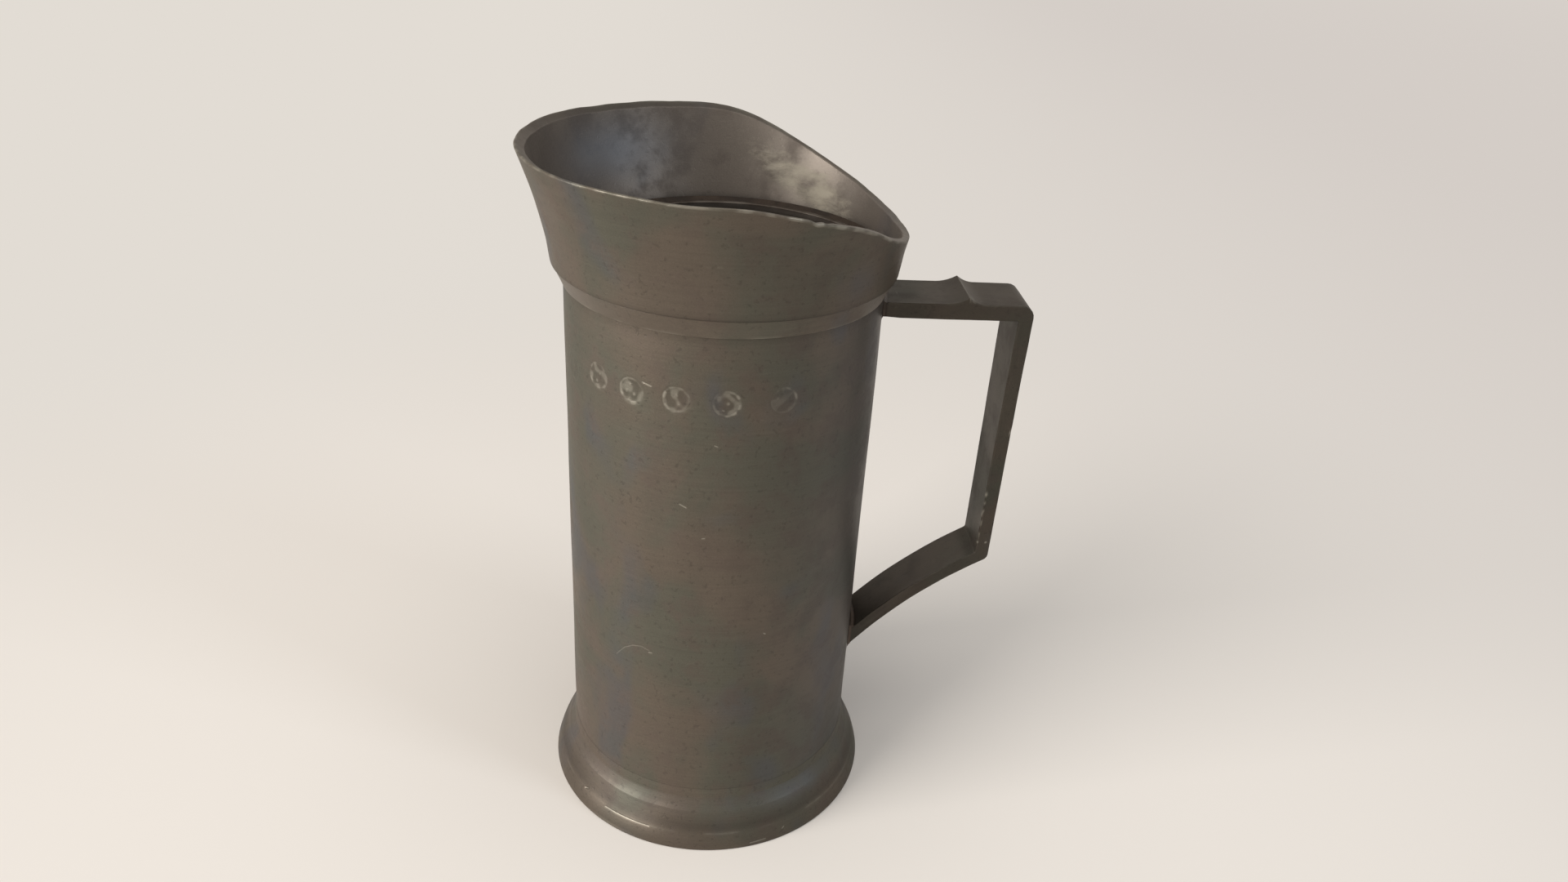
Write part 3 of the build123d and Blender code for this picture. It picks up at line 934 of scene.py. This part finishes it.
# Metres towards the handle's side over which the wall gets dimmer, as painted shade.
DIM_FADE = (-0.3, 0.9)

# The camera's lens and sensor in millimetres, its place in metres and its angles in radians.
LENS = 26.377
SENSOR_WIDTH = 36.0
CLIP = (0.01, 100.0)
CAMERA_PLACE = (-0.01160, -0.31128, 0.28682)
YAW, PITCH, ROLL = 0.10126, 0.49129, 0.06747
LAMP_AIM = Vector((0, 0, 0.1))


def seen_rays(finish):
    """1 for rays by which the camera, metal or glass sees a surface, and 0 for light that falls on things."""
    ray = finish.node("ShaderNodeLightPath", output="Is Camera Ray")
    outputs = ray.socket.node.outputs
    glossy = Value(finish, outputs["Is Glossy Ray"])
    through = Value(finish, outputs["Is Transmission Ray"])
    adding = {"operation": "ADD", "use_clamp": True}
    return finish.node("ShaderNodeMath", adding, {0: ray + glossy, 1: through})


def make_table():
    """Plain pale table top; far from the measure it has the wall's plain tone, with painted shade towards the
    handle's side.
    """
    mesh = bpy.data.meshes.new("table_top")
    half = TABLE_SIZE / 2
    corners = [(x * half, y * half, TABLE_LEVEL) for x, y in ((-1, -1), (1, -1), (1, 1), (-1, 1))]
    mesh.from_pydata(corners, [], [(0, 1, 2, 3)])
    table = bpy.data.objects.new("table_top", mesh)
    bpy.context.scene.collection.objects.link(table)
    finish = Finish("pale_table")
    finish.set(Base_Color=PALE_TABLE, Roughness=0.7, Specular_IOR_Level=0.1)
    away = finish.node("ShaderNodeVectorMath", {"operation": "LENGTH"}, {0: finish.place}, "Value")
    across = finish.node("ShaderNodeSeparateXYZ", {}, {0: finish.place}, 0)
    # Painted shade: the wall darker towards the handle's side.
    wall = finish.mixed(finish.spread(across, *DIM_FADE), PALE_WALL, DIM_WALL)
    wall = finish.mixed(finish.spread(away, *FAR_FADE), wall, FAR_WALL)
    glow = finish.node("ShaderNodeEmission", {}, {"Color": wall, "Strength": 1.0})
    share = seen_rays(finish) * finish.spread(away, *WALL_FADE)
    shader = Value(finish, finish.shader.outputs[0])
    mixed = finish.node("ShaderNodeMixShader", {}, {0: share, 1: shader, 2: glow})
    finish.feed(finish.tree.nodes["Material Output"].inputs["Surface"], mixed)
    mesh.materials.append(finish.material)


class Sky(Finish):
    """The world's node tree, filled as a finish is."""

    def __init__(self, world):
        world.use_nodes = True
        self.tree = world.node_tree


def make_sky(strength):
    """Plain even light from all round; what is seen of it is as pale as the wall."""
    world = bpy.data.worlds.new("soft_room")
    bpy.context.scene.world = world
    sky = Sky(world)
    light = sky.tree.nodes["Background"]
    sky.feed(light.inputs["Color"], PALE_SKY)
    sky.feed(light.inputs["Strength"], strength)
    pale = sky.node("ShaderNodeBackground", {}, {"Color": FAR_WALL, "Strength": 1.0})
    mixed = sky.node("ShaderNodeMixShader", {}, {0: seen_rays(sky), 1: Value(sky, light.outputs[0]), 2: pale})
    sky.feed(sky.tree.nodes["World Output"].inputs["Surface"], mixed)


def make_lamp(name, azimuth, elevation, distance, size, watts, colour):
    """Soft box that faces the measure from a direction in degrees, at a distance in metres."""
    lamp = bpy.data.lights.new(name, "AREA")
    lamp.shape = "RECTANGLE"
    lamp.size, lamp.size_y = size
    lamp.energy = watts
    lamp.color = colour
    holder = bpy.data.objects.new(name, lamp)
    turn, rise = radians(azimuth), radians(elevation)
    away = Vector((cos(turn) * cos(rise), sin(turn) * cos(rise), sin(rise)))
    holder.location = LAMP_AIM + away * distance
    holder.rotation_euler = (-away).to_track_quat("-Z", "Y").to_euler()
    bpy.context.scene.collection.objects.link(holder)


def make_camera():
    """Camera at the photograph's place, looking down on the measure."""
    data = bpy.data.cameras.new("camera")
    data.lens = LENS
    data.sensor_width = SENSOR_WIDTH
    data.clip_start, data.clip_end = CLIP
    camera = bpy.data.objects.new("camera", data)
    ahead = Vector((sin(YAW) * cos(PITCH), cos(YAW) * cos(PITCH), -sin(PITCH)))
    right = ahead.cross(Vector((0, 0, 1))).normalized()
    up = right.cross(ahead)
    x = cos(ROLL) * right + sin(ROLL) * up
    y = cos(ROLL) * up - sin(ROLL) * right
    facing = Matrix((x, y, -ahead)).transposed().to_4x4()
    camera.matrix_world = Matrix.Translation(CAMERA_PLACE) @ facing
    bpy.context.scene.collection.objects.link(camera)
    bpy.context.scene.camera = camera


# ---------------------------------------------------------------- the measure

body_pewter = worn_pewter("worn_pewter")
strap_pewter = worn_pewter("handled_pewter", stretch=HANDLING_MARKS, lightness=0.56)
dark_pewter = worn_pewter("stained_pewter", lightness=0.9, indoors=1.0)
dull_solder = soft_solder("dull_solder", SOLDERED, WARM)
dirty_solder = soft_solder("dirty_solder", RUSTY, DEEP, dullness=0.6)
handle_solder = soft_solder("handle_solder", BROWN, DEEP)

make_drum(body_pewter)
make_foot(body_pewter)
make_band(body_pewter)
make_collar(body_pewter)
make_handle(strap_pewter)

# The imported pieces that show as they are, each with its finish.
kept_pieces = {
    "base_plate": dark_pewter,
    "foot_seam": body_pewter,
    "collar_seam": dirty_solder,
    "base_fillet": dull_solder,
    "upper_handle_solder": handle_solder,
    "lower_handle_solder": handle_solder,
}
for node, finish in kept_pieces.items():
    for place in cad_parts[node].material_slots:
        place.material = finish

make_table()
make_sky(strength=0.365)
make_lamp("window_light", azimuth=-152, elevation=13, distance=3.2, size=(2.1, 1.6), watts=161.0,
          colour=(1.0, 0.972, 0.945))
make_lamp("ceiling_light", azimuth=-90, elevation=80, distance=1.9, size=(1.4, 1.4), watts=11.0,
          colour=(1.0, 0.99, 0.97))
make_lamp("sky_light", azimuth=-30, elevation=27, distance=1.5, size=(0.35, 0.4), watts=4.5,
          colour=(0.82, 0.9, 1.0))
make_camera()

bpy.context.scene.view_settings.view_transform = "Standard"
